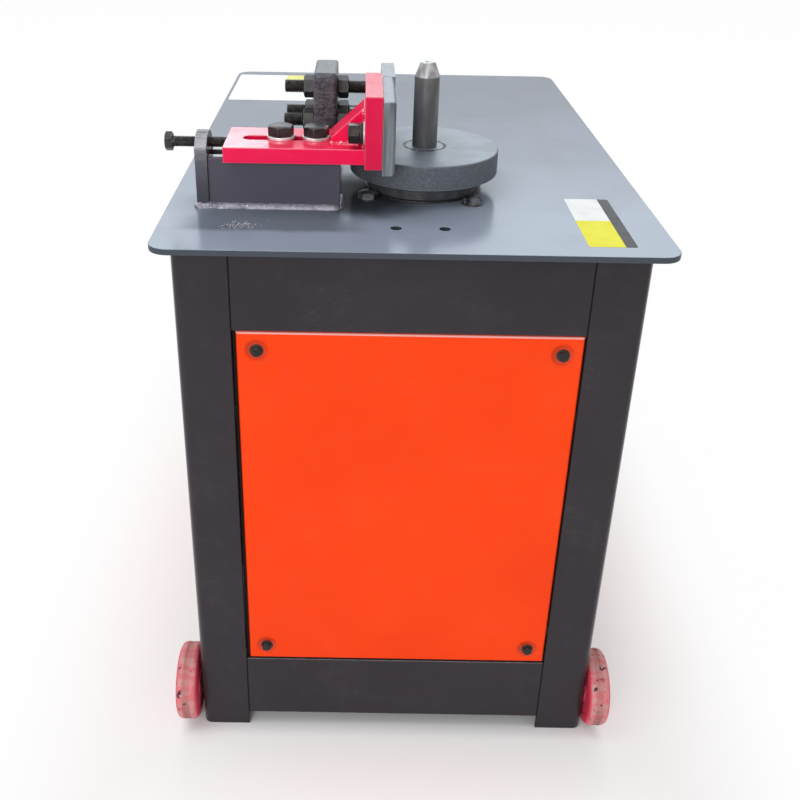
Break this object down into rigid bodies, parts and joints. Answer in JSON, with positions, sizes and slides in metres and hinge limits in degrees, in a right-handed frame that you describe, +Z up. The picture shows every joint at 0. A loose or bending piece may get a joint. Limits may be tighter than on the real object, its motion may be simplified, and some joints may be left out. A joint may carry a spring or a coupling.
{
  "type": "rebar bending machine",
  "caption": "Floor-standing rebar bending machine: a steel table on transport wheels with a powered disc, a centre pin and adjustable stop plates.",
  "frame": {"origin": "on the floor, in the middle of the outline", "axes": "+Z up, +Y away from the operator along the table, +X to the operator's right"},
  "size_m": [0.6624, 0.9984, 0.9733],
  "materials": {
    "table_paint": "satin, worn",
    "body_paint": "gloss",
    "cover_paint": "gloss",
    "red_paint": "gloss",
    "grey_paint": "satin",
    "forged_black": "rough, oiled",
    "machined_steel": "turned and ground",
    "cast_iron": "as cast",
    "bolt_steel": "blackened",
    "wheel_red": "matte, worn",
    "station_plastic": "matte",
    "button_green": "satin",
    "button_red": "satin",
    "button_black": "satin"
  },
  "bodies": {
    "table": {"table_plate": "table_paint", "leg_front_left": "body_paint", "leg_front_right": "body_paint", "leg_rear_left": "body_paint", "leg_rear_right": "body_paint", "top_rails": "body_paint", "bottom_rails": "body_paint", "cover_front": "cover_paint", "cover_rear": "cover_paint", "cover_left": "cover_paint", "cover_right": "cover_paint", "cover_tabs": "body_paint", "wheel_axles": "bolt_steel", "bearing_cover": "cast_iron", "flange_bolts": "bolt_steel", "gear_housing": "cast_iron", "motor_frame": "grey_paint", "fan_cowl": "grey_paint", "terminal_box": "grey_paint", "slide_block": "body_paint", "screw_upright": "body_paint", "t_nuts": "bolt_steel", "rear_post": "forged_black", "button_station": "station_plastic"},
    "spindle": {"work_disc": "machined_steel", "disc_key": "machined_steel", "main_shaft": "machined_steel", "centre_pin": "machined_steel"},
    "carriage": {"slide_bar": "red_paint", "stop_plate": "red_paint", "gusset": "red_paint", "wear_plate": "machined_steel", "wear_fixings": "bolt_steel"},
    "adjusting_screw": {"adjusting_screw": "bolt_steel"},
    "clamp_bolt_1": {"clamp_bolt_1": "bolt_steel"},
    "clamp_bolt_2": {"clamp_bolt_2": "bolt_steel"},
    "rear_stop": {"rear_stop_plate": "grey_paint", "stop_studs": "bolt_steel"},
    "stop_nuts_upper": {"stop_nuts_upper": "bolt_steel"},
    "stop_nuts_lower_front": {"stop_nuts_lower_front": "bolt_steel"},
    "stop_nuts_lower_rear": {"stop_nuts_lower_rear": "bolt_steel"},
    "wheel_left": {"wheel_left": "wheel_red"},
    "wheel_right": {"wheel_right": "wheel_red"},
    "forward_button": {"forward_button": "button_green"},
    "stop_button": {"stop_button": "button_red"},
    "reverse_button": {"reverse_button": "button_black"}
  },
  "joints": [
    {"name": "spindle_turn", "type": "hinge", "parent": "table", "child": "spindle", "pos_m": [0.0233, -0.23275, 0.86], "axis": [0, 0, 1], "continuous": true},
    {"name": "carriage_slide", "type": "slide", "parent": "table", "child": "carriage", "axis": [1, 0, 0], "range_m": [0, 0.026]},
    {"name": "screw_turn", "type": "hinge", "parent": "carriage", "child": "adjusting_screw", "pos_m": [-0.2817, -0.31275, 0.8825], "axis": [1, 0, 0], "range_deg": [0, 4690]},
    {"name": "clamp_turn_1", "type": "hinge", "parent": "table", "child": "clamp_bolt_1", "pos_m": [-0.1682, -0.31275, 0.893], "axis": [0, 0, 1], "range_deg": [0, 270]},
    {"name": "clamp_turn_2", "type": "hinge", "parent": "table", "child": "clamp_bolt_2", "pos_m": [-0.1222, -0.31275, 0.893], "axis": [0, 0, 1], "range_deg": [0, 270]},
    {"name": "rear_stop_slide", "type": "slide", "parent": "table", "child": "rear_stop", "axis": [1, 0, 0], "range_m": [-0.02, 0.02]},
    {"name": "nuts_turn_upper", "type": "hinge", "parent": "table", "child": "stop_nuts_upper", "pos_m": [-0.1297, -0.19475, 0.93], "axis": [1, 0, 0], "range_deg": [-2890, 2890]},
    {"name": "nuts_turn_lower_front", "type": "hinge", "parent": "table", "child": "stop_nuts_lower_front", "pos_m": [-0.1297, -0.21975, 0.89], "axis": [1, 0, 0], "range_deg": [-2890, 2890]},
    {"name": "nuts_turn_lower_rear", "type": "hinge", "parent": "table", "child": "stop_nuts_lower_rear", "pos_m": [-0.1297, -0.16975, 0.89], "axis": [1, 0, 0], "range_deg": [-2890, 2890]},
    {"name": "wheel_turn_left", "type": "hinge", "parent": "table", "child": "wheel_left", "pos_m": [-0.3152, -0.44175, 0.062], "axis": [1, 0, 0], "continuous": true},
    {"name": "wheel_turn_right", "type": "hinge", "parent": "table", "child": "wheel_right", "pos_m": [0.3112, -0.44175, 0.062], "axis": [1, 0, 0], "continuous": true},
    {"name": "forward_button_press", "type": "slide", "parent": "table", "child": "forward_button", "axis": [-1, 0, 0], "range_m": [0, 0.004], "stiffness_N_per_m": 600, "springref_m": -0.002},
    {"name": "stop_button_press", "type": "slide", "parent": "table", "child": "stop_button", "axis": [-1, 0, 0], "range_m": [0, 0.004], "stiffness_N_per_m": 600, "springref_m": -0.002},
    {"name": "reverse_button_press", "type": "slide", "parent": "table", "child": "reverse_button", "axis": [-1, 0, 0], "range_m": [0, 0.004], "stiffness_N_per_m": 600, "springref_m": -0.002}
  ],
  "couplings": [
    {"joint": "screw_turn", "follows": "carriage_slide", "rad_per_m": 3141.6},
    {"joint": "nuts_turn_upper", "follows": "rear_stop_slide", "rad_per_m": -2513.3},
    {"joint": "nuts_turn_lower_front", "follows": "rear_stop_slide", "rad_per_m": -2513.3},
    {"joint": "nuts_turn_lower_rear", "follows": "rear_stop_slide", "rad_per_m": -2513.3}
  ]
}
